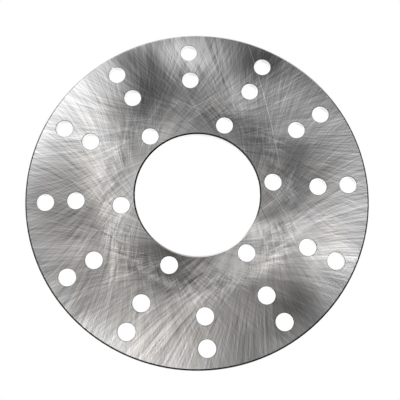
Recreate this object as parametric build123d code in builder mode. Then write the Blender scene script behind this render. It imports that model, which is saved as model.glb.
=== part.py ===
"""Brake disc rotor for a motorcycle or ATV: one flat, fixed, one-piece disc cut from steel plate.

Millimetres, +Z up. Y is the axis that the disc spins about, and the origin is on that axis, half
way through the plate. The front face looks towards -Y and the back face, which seats on the wheel
hub, towards +Y. Angles run clockwise from 12 o'clock (+Z), as seen from the front.
"""

import os

from build123d import *

# Driving dimensions
disc_diameter = 170.0
disc_thickness = 4.0
bore_diameter = 62.0
hole_diameter = 8.6

bolt_circle_diameter = 76.0
bolt_count = 6
first_bolt_angle = 24.6

outer_vent_circle_diameter = 150.0
inner_vent_circle_diameter = 120.0
vent_pair_count = 12
first_vent_angle = 0.0

rim_chamfer = 0.8
bore_chamfer = 0.7
hole_chamfer = 0.2

# The front face's own plane: local X is +X, local Y is +Z, and its normal looks towards -Y
front_plane = Plane(
    origin=(0, -disc_thickness / 2, 0),
    x_dir=(1, 0, 0),
    z_dir=(0, -1, 0),
)


def ring_of_holes(circle_diameter, count, first_angle):
    """Cut evenly spaced through holes, the first one clockwise from 12 o'clock by first_angle."""
    start = 90 - first_angle
    with PolarLocations(circle_diameter / 2, count, start_angle=start):
        Hole(radius=hole_diameter / 2)


def circles_of(part, radius):
    """The circular edges of this radius, on the front and the back face."""
    return part.edges().filter_by(GeomType.CIRCLE).filter_by(lambda edge: abs(edge.radius - radius) < 0.01)


with BuildPart() as brake_disc:
    # The blank, with its bore
    with BuildSketch(front_plane):
        Circle(disc_diameter / 2)
        Circle(bore_diameter / 2, mode=Mode.SUBTRACT)
    extrude(amount=-disc_thickness)

    # Six bolt holes round the bore, and twelve radial pairs of vent holes in the braking band
    with Locations(front_plane):
        ring_of_holes(bolt_circle_diameter, bolt_count, first_bolt_angle)
        ring_of_holes(inner_vent_circle_diameter, vent_pair_count, first_vent_angle)
        ring_of_holes(outer_vent_circle_diameter, vent_pair_count, first_vent_angle)

    # Every sharp edge is broken, on both faces
    chamfer(circles_of(brake_disc, disc_diameter / 2), length=rim_chamfer)
    chamfer(circles_of(brake_disc, bore_diameter / 2), length=bore_chamfer)
    chamfer(circles_of(brake_disc, hole_diameter / 2), length=hole_chamfer)

brake_disc.part.label = "brake_disc"

os.makedirs("parts", exist_ok=True)
export_step(brake_disc.part, "parts/brake_disc.step")
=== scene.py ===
import math

import bpy
from mathutils import Matrix, Vector


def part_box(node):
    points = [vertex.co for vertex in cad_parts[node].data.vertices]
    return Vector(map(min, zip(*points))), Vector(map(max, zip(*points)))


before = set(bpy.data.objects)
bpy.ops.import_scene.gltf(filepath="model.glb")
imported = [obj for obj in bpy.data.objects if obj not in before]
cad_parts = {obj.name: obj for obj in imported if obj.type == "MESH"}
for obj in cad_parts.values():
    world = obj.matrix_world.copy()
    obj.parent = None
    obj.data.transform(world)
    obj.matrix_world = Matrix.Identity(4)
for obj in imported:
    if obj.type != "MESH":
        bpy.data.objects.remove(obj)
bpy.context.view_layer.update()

# Lengths, radii and places on the disc are in millimetres, as seen from the front. Lamps, floor
# and camera are in metres.
MM = 0.001

# ---------------------------------------------------------------- the disc
LOW, HIGH = (Vector(corner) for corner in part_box("brake_disc"))
RIM = round((HIGH.x - LOW.x) / 2 / MM)
BORE = 31.0

# ---------------------------------------------------------------- the grinding marks
# The grinding wheel's radius. Then, for each family of arcs, how near they come to the disc's
# axis, and its share: how far it stands out over a family with a share of 0. Luck is how much
# chance counts beside that, where the families compete for a grain of the steel.
GRIND_RADIUS = 162.0
FAMILIES = [(42.0, 0.45), (35.0, 0.1), (27.0, 0.0)]
LUCK = 0.5

# Lighter and darker strokes: how many lanes to a turn, and how long, near the bore and near the rim
NEAR_STROKES = (330, 38.0)
FAR_STROKES = (1000, 42.0)

# One long scratch across the front face: x and z of its arc's centre, the arc's radius and half
# the scratch's width, then the lowest and highest z that it reaches.
SCRATCH = (-357.0, -18.9, 400.0, 0.18)
SCRATCH_SPAN = (-2.0, 82.0)

# Painted highlights and painted shade: soft darker (below 0) and lighter (above 0) areas of the face
# where the lamps' reflections would fall, painted to follow the photo: x and z of the middle,
# half-width, half-height, lean in degrees clockwise, and gain in stops.
PAINTED_REFLECTIONS = [
    (5.0, 76.0, 20.0, 14.0, 0.0, 1.1),
    (-23.0, 62.0, 13.0, 22.0, -12.0, -1.15),
    (-34.0, 76.0, 10.0, 8.0, 30.0, -0.7),
    (-35.0, 44.0, 11.0, 10.0, 0.0, -0.5),
    (19.0, 34.0, 17.0, 9.0, 15.0, -1.0),
    (49.0, 16.0, 8.0, 12.0, 20.0, -0.55),
    (38.0, 67.0, 11.0, 10.0, 25.0, -0.9),
    (-68.0, 5.0, 17.0, 25.0, 0.0, -0.75),
    (-15.0, -33.0, 20.0, 8.0, 38.0, -1.3),
    (-16.0, -42.0, 11.0, 8.0, 20.0, -0.5),
    (1.0, -31.0, 9.0, 6.0, -10.0, -1.1),
    (-31.0, -32.0, 9.0, 8.0, 0.0, -0.5),
    (66.0, -46.0, 20.0, 18.0, 35.0, 1.5),
    (13.0, -32.0, 9.0, 8.0, -30.0, 1.0),
    (24.0, -37.0, 15.0, 8.0, -25.0, 0.9),
    (42.0, -18.0, 14.0, 6.0, -15.0, 0.45),
    (42.0, -10.0, 8.0, 7.0, -20.0, -0.8),
    (30.0, -20.0, 8.0, 7.0, 0.0, 0.4),
    (48.0, 32.0, 8.0, 7.0, 0.0, 0.35),
    (47.0, -57.0, 15.0, 12.0, 0.0, -0.5),
    (60.0, 10.0, 28.0, 40.0, 0.0, 0.6),
    (32.0, 5.0, 5.0, 10.0, 0.0, 0.75),
    (33.0, -13.0, 7.0, 5.0, 0.0, -0.5),
    (37.0, -16.0, 8.0, 4.0, 5.0, -0.5),
    (27.0, -25.0, 7.0, 5.0, 0.0, 0.5),
    (6.0, -39.0, 7.0, 8.0, 0.0, 0.4),
    (19.0, -57.0, 5.0, 12.0, 10.0, 0.25),
    (54.0, 26.0, 8.0, 6.0, -20.0, 0.3),
    (30.0, 23.0, 8.0, 7.0, 0.0, -0.3),
    (-17.0, 70.0, 5.0, 10.0, -20.0, -0.3),
    (-35.0, 29.0, 7.0, 8.0, 0.0, -0.35),
    (-47.0, 21.0, 6.0, 7.0, 0.0, -0.25),
    (-26.0, 34.0, 13.0, 9.0, -42.0, -0.25),
    (11.0, 50.0, 11.0, 6.0, 10.0, -0.15),
    (-56.0, -28.0, 9.0, 9.0, 0.0, 0.15),
    (-66.0, 37.0, 13.0, 9.0, -65.0, -0.25),
    (-24.0, -43.0, 9.0, 5.0, 15.0, 0.4),
    (-19.0, -40.0, 8.0, 4.0, -20.0, -0.3),
    (-14.0, 45.0, 9.0, 7.0, -30.0, 0.3),
    (30.0, -78.0, 10.0, 8.0, 0.0, 0.4),
    (-36.0, -8.0, 9.0, 14.0, 0.0, 0.6),
    (-45.0, -10.0, 6.0, 14.0, 0.0, 0.4),
    (-52.0, -46.0, 24.0, 15.0, 35.0, -0.65),
    (-12.0, -61.0, 8.0, 11.0, -10.0, -0.35),
    (-31.0, 20.0, 8.0, 9.0, 0.0, -0.35),
    (-12.0, 33.0, 14.0, 7.0, -15.0, 0.75),
    (48.0, 56.0, 14.0, 13.0, 0.0, 0.4),
    (48.0, -68.0, 26.0, 9.0, -40.0, 0.65),
]

# ---------------------------------------------------------------- tones of the steel
# A face: its middle tone, its darkest and lightest, and the lightest that a painted highlight makes
# it
FACE_TONE = 0.47
DARKEST = 0.12
LIGHTEST = 1.0
PAINTED_REFLECTION_LIGHTEST = 0.95
STROKE_GAIN = 0.4
LONG_SCRATCH_GAIN = 0.35

# The broken edges, with painted shade: the rim's tone from lower left to upper right, the bore's from
# left to right, and the holes' edges painted dark all round
RIM_EDGE_SHADE = (0.6, 0.3)
BORE_EDGE_SHADE = (0.1, 0.65)
HOLE_EDGE_SHADE = 0.05

# Red, green and blue: tints against the steel's own grey, then colours of the turned walls
WARM = (1.033, 0.998, 0.957)
COOL = (1.0, 0.995, 1.01)
EDGE_TINT = (1.02, 0.98, 0.92)
HOLE_WALL = (0.68, 0.68, 0.67)
RIM_WALL = (0.78, 0.75, 0.70)

# ---------------------------------------------------------------- shine of the steel
ANISOTROPY = 0.68
FACE_ROUGHNESS = 0.37
EDGE_ROUGHNESS = 0.12
WALL_ROUGHNESS = (0.38, 0.28)
BUMP_STRENGTH = 0.35
BUMP_HEIGHT = 0.02

# ---------------------------------------------------------------- the studio
FLOOR_SIZE = 4.0
FLOOR_LEVEL = -0.45
FLOOR_TONE = 0.97
ROOM_DIM = 0.05
ROOM_WHITE = 1.8

# Square lamps aimed at the disc: name, place, size and power in watts
SOFTBOXES = [
    ("left", (-0.532, -0.370, 0.068), 0.12, 6.2),
    ("right", (0.228, -0.268, -0.317), 0.10, 6.2),
    ("top_left", (-0.138, -0.289, 0.143), 0.06, 0.1),
]


# ---------------------------------------------------------------- short calls for shader nodes
class Shader:
    """Adds nodes to one material, and returns the output socket of each."""

    def __init__(self, name):
        self.material = bpy.data.materials.new(name)
        self.material.use_nodes = True
        self.tree = self.material.node_tree
        self.tree.nodes.clear()

    def node(self, kind, **settings):
        made = self.tree.nodes.new(kind)
        for name, value in settings.items():
            setattr(made, name, value)
        return made

    def plug(self, value, socket):
        """Link an output socket, or set a plain number or vector."""
        if isinstance(value, bpy.types.NodeSocket):
            self.tree.links.new(value, socket)
        else:
            socket.default_value = value

    def maths(self, operation, *values):
        made = self.node("ShaderNodeMath", operation=operation)
        for value, socket in zip(values, made.inputs):
            self.plug(value, socket)
        return made.outputs[0]

    def add(self, a, b):
        return self.maths("ADD", a, b)

    def subtract(self, a, b):
        return self.maths("SUBTRACT", a, b)

    def times(self, a, b):
        return self.maths("MULTIPLY", a, b)

    def over(self, a, b):
        return self.maths("DIVIDE", a, b)

    def square(self, a):
        return self.maths("MULTIPLY", a, a)

    def hold(self, value, lowest, highest):
        return self.maths("MAXIMUM", self.maths("MINIMUM", value, highest), lowest)

    def vector(self, operation, *values, output="Vector"):
        made = self.node("ShaderNodeVectorMath", operation=operation)
        for value, socket in zip(values, made.inputs):
            self.plug(value, socket)
        return made.outputs[output]

    def scaled(self, vector, scale):
        made = self.node("ShaderNodeVectorMath", operation="SCALE")
        self.plug(vector, made.inputs[0])
        made.inputs["Scale"].default_value = scale
        return made.outputs[0]

    def tinted(self, tone, colour):
        """A grey of this tone, times a colour."""
        return self.vector("MULTIPLY", self.join(tone, tone, tone), colour)

    def split(self, vector):
        made = self.node("ShaderNodeSeparateXYZ")
        self.plug(vector, made.inputs[0])
        return made.outputs

    def join(self, x, y, z):
        made = self.node("ShaderNodeCombineXYZ")
        for value, socket in zip((x, y, z), made.inputs):
            self.plug(value, socket)
        return made.outputs[0]

    def remap(self, value, low, high, to_low=0.0, to_high=1.0, smooth=True):
        """Value from low..high to to_low..to_high, held at both ends."""
        kind = "SMOOTHSTEP" if smooth else "LINEAR"
        made = self.node("ShaderNodeMapRange", interpolation_type=kind)
        for socket, number in zip(made.inputs, (value, low, high, to_low, to_high)):
            self.plug(number, socket)
        return made.outputs[0]

    def noise(self, vector, scale=1.0, detail=2.0, roughness=0.5):
        made = self.node("ShaderNodeTexNoise")
        self.plug(vector, made.inputs["Vector"])
        self.plug(scale, made.inputs["Scale"])
        self.plug(detail, made.inputs["Detail"])
        self.plug(roughness, made.inputs["Roughness"])
        return made.outputs["Fac"]

    def random(self, vector):
        """Three random numbers from 0 to 1, the same wherever the vector is the same."""
        made = self.node("ShaderNodeTexWhiteNoise", noise_dimensions="3D")
        self.plug(vector, made.inputs["Vector"])
        return self.split(made.outputs["Color"])

    def blend(self, factor, a, b, kind="FLOAT"):
        """a where factor is 0, b where it is 1."""
        made = self.node("ShaderNodeMix", data_type=kind)
        first = {"FLOAT": 2, "VECTOR": 4}[kind]
        self.plug(factor, made.inputs[0])
        self.plug(a, made.inputs[first])
        self.plug(b, made.inputs[first + 1])
        return made.outputs[{"FLOAT": 0, "VECTOR": 1}[kind]]

    def finish(self, shader):
        """Send a shader's output to the surface, and return the material."""
        out = self.node("ShaderNodeOutputMaterial")
        self.plug(shader.outputs[0], out.inputs["Surface"])
        return self.material


# ---------------------------------------------------------------- the ground steel
class Spot:
    """Where a point is on the disc: x, y, z and radius, and the angle clockwise from 12 o'clock.

    On the back half, x and z are turned by half a turn, so that the two faces aren't marked alike.
    """

    def __init__(self, s):
        place = s.scaled(s.node("ShaderNodeTexCoord").outputs["Object"], 1 / MM)
        x, self.y, z = s.split(place)
        self.front = s.maths("LESS_THAN", self.y, 0.0)
        turned = s.remap(self.front, 0.0, 1.0, -1.0, 1.0, smooth=False)
        self.x = s.times(x, turned)
        self.z = s.times(z, turned)
        self.place = s.join(self.x, self.y, self.z)
        self.radius = s.maths("SQRT", s.add(s.square(self.x), s.square(self.z)))
        self.angle = s.maths("ARCTAN2", self.x, self.z)


class ArcFamily:
    """Grinding marks: arcs of one radius, whose centres lie on a circle round the disc's axis.

    closest is how near the arcs come to the axis, and side is +1 or -1 for the two arcs of the
    family that cross at every point. turn is the angle of the centre of the arc through the point,
    run is how far along the arc the point is, and across is the way across the arc.
    """

    FADE = 9.0

    def __init__(self, s, spot, closest, side, seed):
        self.closest = closest
        self.radius = spot.radius
        reach = GRIND_RADIUS + closest
        powers = s.add(s.square(spot.radius), reach**2 - GRIND_RADIUS**2)
        cosine = s.over(powers, s.times(spot.radius, 2 * reach))
        swing = s.maths("ARCCOSINE", s.maths("MINIMUM", cosine, 1.0))
        self.turn = s.add(spot.angle, s.times(swing, side))
        self.sine = s.maths("SINE", self.turn)
        self.cosine = s.maths("COSINE", self.turn)
        depth = s.subtract(s.square(spot.radius), closest**2)
        self.run = s.maths("SQRT", s.maths("MAXIMUM", depth, 0.0))
        across_x = s.subtract(spot.x, s.times(self.sine, reach))
        across_z = s.subtract(spot.z, s.times(self.cosine, reach))
        self.across = s.join(across_x, 0.0, across_z)
        self.present = self.beyond(s, 0.0, self.FADE)
        self.missing = s.maths("LESS_THAN", spot.radius, closest)
        self.fine = self.grain(s, seed)
        self.broad = self.streaks(s, 14.0, 120.0, seed + 7.0, detail=2.0)
        self.scratch = self.scratches(s, seed)

    def beyond(self, s, start, end):
        """0 up to start past the arcs' closest radius, 1 from end past it."""
        return s.remap(self.radius, self.closest + start, self.closest + end)

    def streaks(self, s, fineness, length, seed, detail=3.0, roughness=0.6):
        """Noise drawn out along the arcs. fineness is how many steps it makes in a radian of turn."""
        along = s.add(s.over(self.run, length), seed)
        where = s.join(s.times(self.sine, fineness), s.times(self.cosine, fineness), along)
        return s.noise(where, detail=detail, roughness=roughness)

    def grain(self, s, seed):
        """Streaks of about one width from bore to rim, though the arcs draw together inwards."""
        near = self.streaks(s, 34.0, 80.0, seed, roughness=0.8)
        far = self.streaks(s, 105.0, 80.0, seed + 1.0, roughness=0.8)
        return s.blend(self.beyond(s, 5.0, 20.0), near, far)

    def strokes(self, s, lanes, length, seed):
        """Single strokes with clean edges: above 0 light ones, below 0 dark ones.

        Each lane is cut into cells of this length, and the cells of each lane start at random.
        A cell's chance decides whether it holds a light stroke, a dark one or none.
        """
        lane = s.times(self.turn, lanes / math.tau)
        number = s.maths("WRAP", s.maths("FLOOR", lane), float(lanes), 0.0)
        start = s.times(s.random(s.join(number, seed, 0.5))[0], 50.0)
        cell = s.add(s.over(self.run, length), start)
        chance, strength, _ = s.random(s.join(number, s.maths("FLOOR", cell), seed))
        light = s.remap(chance, 0.78, 0.98)
        dark = s.remap(chance, 0.14, 0.0, 0.0, 0.7)
        off_middle = s.maths("ABSOLUTE", s.subtract(s.maths("FRACT", lane), 0.5))
        off_centre = s.maths("ABSOLUTE", s.subtract(s.maths("FRACT", cell), 0.5))
        sides = s.remap(off_middle, 0.1, 0.45, 1.0, 0.0)
        ends = s.remap(off_centre, 0.3, 0.5, 1.0, 0.0)
        return s.times(s.times(s.subtract(light, dark), s.times(sides, ends)), strength)

    def scratches(self, s, seed):
        """Strokes about half a millimetre apart: few to a turn near the bore, many at the rim."""
        near = self.strokes(s, *NEAR_STROKES, seed)
        far = self.strokes(s, *FAR_STROKES, seed + 1.0)
        mixed = s.blend(self.beyond(s, 7.0, 15.0), near, far)
        return s.times(mixed, self.beyond(s, 0.0, 3.0))


class Grinding:
    """All the families together. Each grain of the steel lies along the arcs of one family.

    across is the way across those arcs, and grooves is the grain that the bump map follows. relief
    and scratch lighten and darken the face, and ripple feathers the edges of the painted highlights
    and painted shade.
    """

    def __init__(self, s, spot):
        choices = [(closest, share, side) for closest, share in FAMILIES for side in (+1, -1)]
        self.across = (1.0, 0.0, 0.0)
        self.relief = 0.0
        self.ripple = 0.0
        self.scratch = 0.0
        best = -10.0
        for number, ((closest, share, side), chance) in enumerate(zip(choices, chances(s, spot))):
            family = ArcFamily(s, spot, closest, side, seed=17.0 * number + 3.0)
            if number == 0:
                self.grooves = family.fine
            score = self.score(s, family, share, chance)
            chosen = s.maths("GREATER_THAN", score, best)
            self.across = s.blend(chosen, self.across, family.across, "VECTOR")
            best = s.maths("MAXIMUM", best, score)

            weight = s.times(family.present, 0.6 + share)
            fine = s.subtract(family.fine, 0.5)
            broad = s.subtract(family.broad, 0.5)
            wave = s.add(fine, s.times(broad, 0.25))
            self.relief = s.add(self.relief, s.times(wave, weight))
            self.ripple = s.add(self.ripple, s.times(broad, s.times(weight, 0.35)))
            self.scratch = s.add(self.scratch, family.scratch)

    def score(self, s, family, share, chance):
        """The family with the highest score gets the grain, and never where its arcs don't reach."""
        mark = s.add(s.times(family.fine, 0.45), s.times(family.broad, 0.1))
        score = s.add(s.add(s.times(mark, family.present), s.times(chance, LUCK)), share)
        score = s.subtract(score, s.times(s.subtract(1.0, family.present), 0.8))
        return s.subtract(score, s.times(family.missing, 9.0))


def chances(s, spot):
    """Six random numbers that differ from grain to grain of the steel."""
    for scale in (977.0, 1459.0):
        yield from s.random(s.scaled(spot.place, scale))


def painted_reflection_stops(s, spot, ripple):
    """How many stops brighter the painted highlights and painted shade make the face here, summed
    over the table.
    """
    total = 0.0
    for x, z, half_width, half_height, lean, gain in PAINTED_REFLECTIONS:
        turn = math.radians(lean)
        wide = (math.cos(turn) / half_width, 0.0, -math.sin(turn) / half_width)
        high = (math.sin(turn) / half_height, 0.0, math.cos(turn) / half_height)
        offset = s.vector("SUBTRACT", spot.place, (x, 0.0, z))
        u = s.vector("DOT_PRODUCT", offset, wide, output="Value")
        v = s.vector("DOT_PRODUCT", offset, high, output="Value")
        reach = s.maths("SQRT", s.add(s.square(u), s.square(v)))
        inside = s.remap(s.add(reach, ripple), 0.3, 1.3, 1.0, 0.0)
        total = s.add(total, s.times(inside, gain))
    return total


def long_scratch(s, spot):
    """1 on the one long scratch, 0 beside it. It fades in slowly from its lower end."""
    x, z, radius, half_width = SCRATCH
    lowest, highest = SCRATCH_SPAN
    offset = s.vector("SUBTRACT", s.join(spot.x, 0.0, spot.z), (x, 0.0, z))
    out = s.vector("LENGTH", offset, output="Value")
    off_line = s.maths("ABSOLUTE", s.subtract(out, radius))
    line = s.remap(off_line, 0.5 * half_width, 1.5 * half_width, 1.0, 0.0)
    line = s.times(s.times(line, spot.front), s.remap(spot.z, highest - 6, highest, 1.0, 0.0))
    return s.times(line, s.remap(spot.z, lowest, lowest + 25))


def tint(s, spot):
    """Warm towards the left and the bottom, cool towards the top right and along the rim."""
    lower_left = s.add(s.times(spot.x, -0.004), s.times(spot.z, -0.010))
    cloud = s.subtract(s.noise(spot.place, scale=0.05, detail=3.0), 0.5)
    warmth = s.add(s.add(lower_left, 0.45), s.times(cloud, 2.5))
    warmth = s.subtract(warmth, s.times(s.remap(spot.radius, RIM - 17, RIM - 1), 0.9))
    return s.blend(s.remap(warmth, -0.4, 1.2), COOL, WARM, "VECTOR")


def marks(s, spot, grinding):
    """How much lighter or darker the marks make the face, around 0.

    Each mark is made stronger near the bore, where fewer arcs reach. Further out, all the marks
    fade from the upper left to the lower right.
    """
    outer = s.remap(spot.radius, 60.0, 80.0, 1.0, 0.65)
    near_bore = s.remap(spot.radius, 38.0, 52.0, 1.6, 0.0)
    grain = s.times(grinding.relief, s.add(outer, near_bore))
    strokes = s.times(grinding.scratch, s.remap(spot.radius, 38.0, 58.0, 2.2, 1.0))
    both = s.add(grain, s.times(strokes, STROKE_GAIN))
    upper_left = s.subtract(s.times(spot.z, 0.87), s.times(spot.x, 0.5))
    fading = s.remap(upper_left, -85.0, 60.0, 0.35, 1.35, smooth=False)
    further_out = s.remap(spot.radius, 40.0, 62.0)
    return s.times(both, s.blend(further_out, 1.05, fading))


def face_colour(s, spot, grinding):
    """The ground face: its painted highlights and painted shade, its marks, the long scratch and the
    tint.
    """
    # Painted highlights and painted shade, in stops, standing in for the lamps' reflections
    stops = painted_reflection_stops(s, spot, grinding.ripple)
    painted_reflection_tone = s.times(s.maths("POWER", 2.0, stops), FACE_TONE)
    painted_reflection_tone = s.maths("MINIMUM", painted_reflection_tone, PAINTED_REFLECTION_LIGHTEST)
    tone = s.times(painted_reflection_tone, s.add(marks(s, spot, grinding), 1.0))
    tone = s.add(tone, s.times(long_scratch(s, spot), LONG_SCRATCH_GAIN))
    return s.tinted(s.hold(tone, DARKEST, LIGHTEST), tint(s, spot))


def shaded_edge_colour(s, spot, is_rim):
    """The broken edges of the rim, the bore and the holes between them, with painted shade: the rim
    and bore edges darker to one side, the holes' edges dark all round.
    """
    rim = s.remap(s.add(spot.x, spot.z), -100.0, 30.0, *RIM_EDGE_SHADE)
    bore = s.remap(spot.x, -BORE, BORE, *BORE_EDGE_SHADE)
    past_bore = s.remap(spot.radius, BORE + 1, BORE + 2)
    inside_rim = s.remap(spot.radius, RIM - 4, RIM - 3, 1.0, 0.0)
    at_hole = s.times(past_bore, inside_rim)
    return s.tinted(s.blend(at_hole, s.blend(is_rim, bore, rim), HOLE_EDGE_SHADE), EDGE_TINT)


def ground_steel():
    """Bare steel plate: both faces surface ground with crossing arcs, edges broken, walls turned."""
    s = Shader("ground_steel")
    spot = Spot(s)
    grinding = Grinding(s, spot)

    # How far the surface faces front or back: 1 on the faces, 0.7 on the edges, 0 on the walls
    normal = s.node("ShaderNodeNewGeometry").outputs["True Normal"]
    facing = s.maths("ABSOLUTE", s.split(normal)[1])
    is_face = s.remap(facing, 0.93, 0.97)
    is_wall = s.remap(facing, 0.2, 0.3, 1.0, 0.0)
    is_edge = s.subtract(1.0, s.maths("MAXIMUM", is_face, is_wall))
    is_rim = s.remap(spot.radius, RIM - 2, RIM - 1)

    # The lathe's lines run round the walls, so the noise is fine along y and drawn out otherwise
    lathe = s.noise(s.vector("MULTIPLY", spot.place, (0.04, 9.0, 0.04)), detail=3.0, roughness=0.7)
    lathe_tone = s.remap(lathe, 0.3, 0.7, 0.78, 1.0, smooth=False)
    wall = s.tinted(lathe_tone, s.blend(is_rim, HOLE_WALL, RIM_WALL, "VECTOR"))
    face = face_colour(s, spot, grinding)
    # The edges carry painted shade
    colour = s.blend(is_face, shaded_edge_colour(s, spot, is_rim), face, "VECTOR")
    colour = s.blend(is_wall, colour, wall, "VECTOR")

    ground = s.add(FACE_ROUGHNESS, s.times(grinding.relief, 0.12))
    roughness = s.blend(is_face, EDGE_ROUGHNESS, ground)
    roughness = s.blend(is_wall, roughness, s.remap(lathe, 0.3, 0.7, *WALL_ROUGHNESS))

    # The shine is drawn out across the marks: across the arcs, along y on walls, round on edges
    axis = (0.0, 1.0, 0.0)
    across = s.blend(is_wall, grinding.across, axis, "VECTOR")
    across = s.blend(is_edge, across, s.vector("CROSS_PRODUCT", normal, axis), "VECTOR")

    bump = s.node("ShaderNodeBump")
    bump.inputs["Strength"].default_value = BUMP_STRENGTH
    bump.inputs["Distance"].default_value = BUMP_HEIGHT * MM
    s.plug(s.blend(is_wall, grinding.grooves, lathe), bump.inputs["Height"])

    steel = s.node("ShaderNodeBsdfPrincipled")
    steel.inputs["Metallic"].default_value = 1.0
    steel.inputs["Anisotropic"].default_value = ANISOTROPY
    s.plug(bump.outputs[0], steel.inputs["Normal"])
    s.plug(roughness, steel.inputs["Roughness"])
    s.plug(colour, steel.inputs["Base Color"])
    s.plug(s.vector("NORMALIZE", across), steel.inputs["Tangent"])
    return s.finish(steel)


# ---------------------------------------------------------------- the studio
def matt(name, tone):
    """A matt grey material."""
    s = Shader(name)
    paint = s.node("ShaderNodeBsdfPrincipled")
    paint.inputs["Base Color"].default_value = (tone, tone, tone, 1.0)
    paint.inputs["Roughness"].default_value = 0.9
    return s.finish(paint)


def floor():
    """A wide pale floor below the disc. The steel reflects the studio, not the floor."""
    bpy.ops.mesh.primitive_plane_add(size=FLOOR_SIZE, location=(0.0, 0.0, FLOOR_LEVEL))
    plane = bpy.context.object
    plane.name = "floor"
    plane.data.materials.append(matt("pale_floor", FLOOR_TONE))
    plane.visible_glossy = False


def softbox(name, place, size, power):
    """A square lamp, aimed at the middle of the disc."""
    light = bpy.data.lights.new(name, "AREA")
    light.shape = "SQUARE"
    light.size = size
    light.energy = power
    holder = bpy.data.objects.new(name, light)
    bpy.context.scene.collection.objects.link(holder)
    holder.location = place
    holder.rotation_euler = (-Vector(place)).to_track_quat("-Z", "Y").to_euler()


class Room:
    """The studio round the disc: what the steel reflects, by direction."""

    def __init__(self):
        world = bpy.data.worlds.new("studio")
        world.use_nodes = True
        self.tree = world.node_tree
        self.tree.nodes.clear()
        bpy.context.scene.world = world
        way = self.tree.nodes.new("ShaderNodeTexCoord").outputs["Generated"]
        split = self.tree.nodes.new("ShaderNodeSeparateXYZ")
        self.tree.links.new(way, split.inputs[0])
        self.x, self.y, self.z = split.outputs

    def bright(self, value, low, high):
        """Dim below low, white above high."""
        made = self.tree.nodes.new("ShaderNodeMapRange")
        made.interpolation_type = "SMOOTHSTEP"
        self.tree.links.new(value, made.inputs["Value"])
        made.inputs["From Min"].default_value = low
        made.inputs["From Max"].default_value = high
        made.inputs["To Min"].default_value = ROOM_DIM
        made.inputs["To Max"].default_value = ROOM_WHITE
        return made.outputs[0]

    def larger(self, a, b):
        made = self.tree.nodes.new("ShaderNodeMath")
        made.operation = "MAXIMUM"
        self.tree.links.new(a, made.inputs[0])
        self.tree.links.new(b, made.inputs[1])
        return made.outputs[0]

    def light(self, reflected):
        """White, but for what the steel reflects."""
        glossy = self.tree.nodes.new("ShaderNodeLightPath").outputs["Is Glossy Ray"]
        strength = self.tree.nodes.new("ShaderNodeMix")
        strength.data_type = "FLOAT"
        strength.inputs[2].default_value = 1.0
        self.tree.links.new(glossy, strength.inputs[0])
        self.tree.links.new(reflected, strength.inputs[3])
        background = self.tree.nodes.new("ShaderNodeBackground")
        self.tree.links.new(strength.outputs[0], background.inputs["Strength"])
        background.inputs["Color"].default_value = (1.0, 1.0, 1.0, 1.0)
        out = self.tree.nodes.new("ShaderNodeOutputWorld")
        self.tree.links.new(background.outputs[0], out.inputs["Surface"])


def studio():
    """A white background. The steel reflects a dim room with a bright wall behind and ceiling."""
    room = Room()
    wall_behind = room.bright(room.y, 0.62, 0.85)
    ceiling = room.bright(room.z, 0.55, 0.85)
    room.light(room.larger(wall_behind, ceiling))
    bpy.context.scene.view_settings.view_transform = "Standard"


def camera(distance, azimuth, elevation, roll, aim, lens):
    """Azimuth 0 looks along +Y, and roll turns the picture anticlockwise. Angles in degrees."""
    azimuth = math.radians(azimuth)
    elevation = math.radians(elevation)
    eye = Vector((
        math.sin(azimuth) * math.cos(elevation),
        -math.cos(azimuth) * math.cos(elevation),
        math.sin(elevation),
    )) * distance
    lens_data = bpy.data.cameras.new("camera")
    lens_data.lens = lens
    lens_data.sensor_width = 36.0
    lens_data.clip_start = 0.01
    holder = bpy.data.objects.new("camera", lens_data)
    bpy.context.scene.collection.objects.link(holder)
    turn = (Vector(aim) - eye).to_track_quat("-Z", "Y").to_matrix().to_4x4()
    holder.matrix_world = turn @ Matrix.Rotation(math.radians(roll), 4, "Z")
    holder.location = eye
    bpy.context.scene.camera = holder


camera(
    distance=0.331,
    azimuth=-1.13,
    elevation=-13.0,
    roll=-3.63,
    aim=(0.0011, 0.0, -0.0029),
    lens=59.9,
)
studio()
floor()
for lamp in SOFTBOXES:
    softbox(*lamp)

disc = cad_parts["brake_disc"]
disc.data.materials.clear()
disc.data.materials.append(ground_steel())
